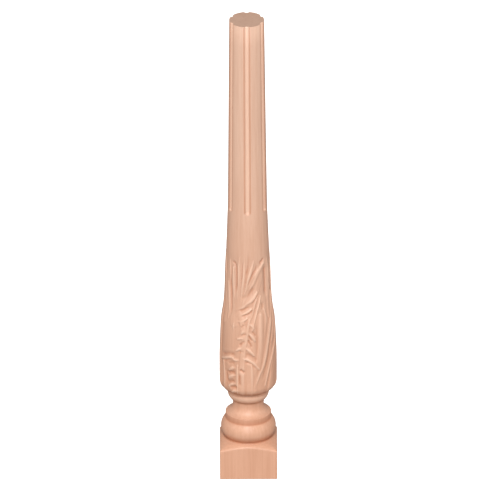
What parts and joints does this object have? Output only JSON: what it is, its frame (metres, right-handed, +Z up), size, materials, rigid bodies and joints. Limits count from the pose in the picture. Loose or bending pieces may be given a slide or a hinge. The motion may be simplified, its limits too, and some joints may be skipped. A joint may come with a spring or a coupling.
{
  "type": "carved wooden baluster",
  "caption": "Turned and fluted wooden baluster with an acanthus-carved vase on a square block, cut square at its top.",
  "frame": {"origin": "centre of the square block's underside", "axes": "+Z up along the turning axis, -Y the front, at the middle of one face of the block, +X to the right seen from the front"},
  "size_m": [0.1, 0.1, 0.87],
  "materials": {
    "wood": "sanded, unvarnished, pale pinkish brown, soft sheen"
  },
  "bodies": {
    "root": {"baluster": "wood"}
  },
  "joints": []
}
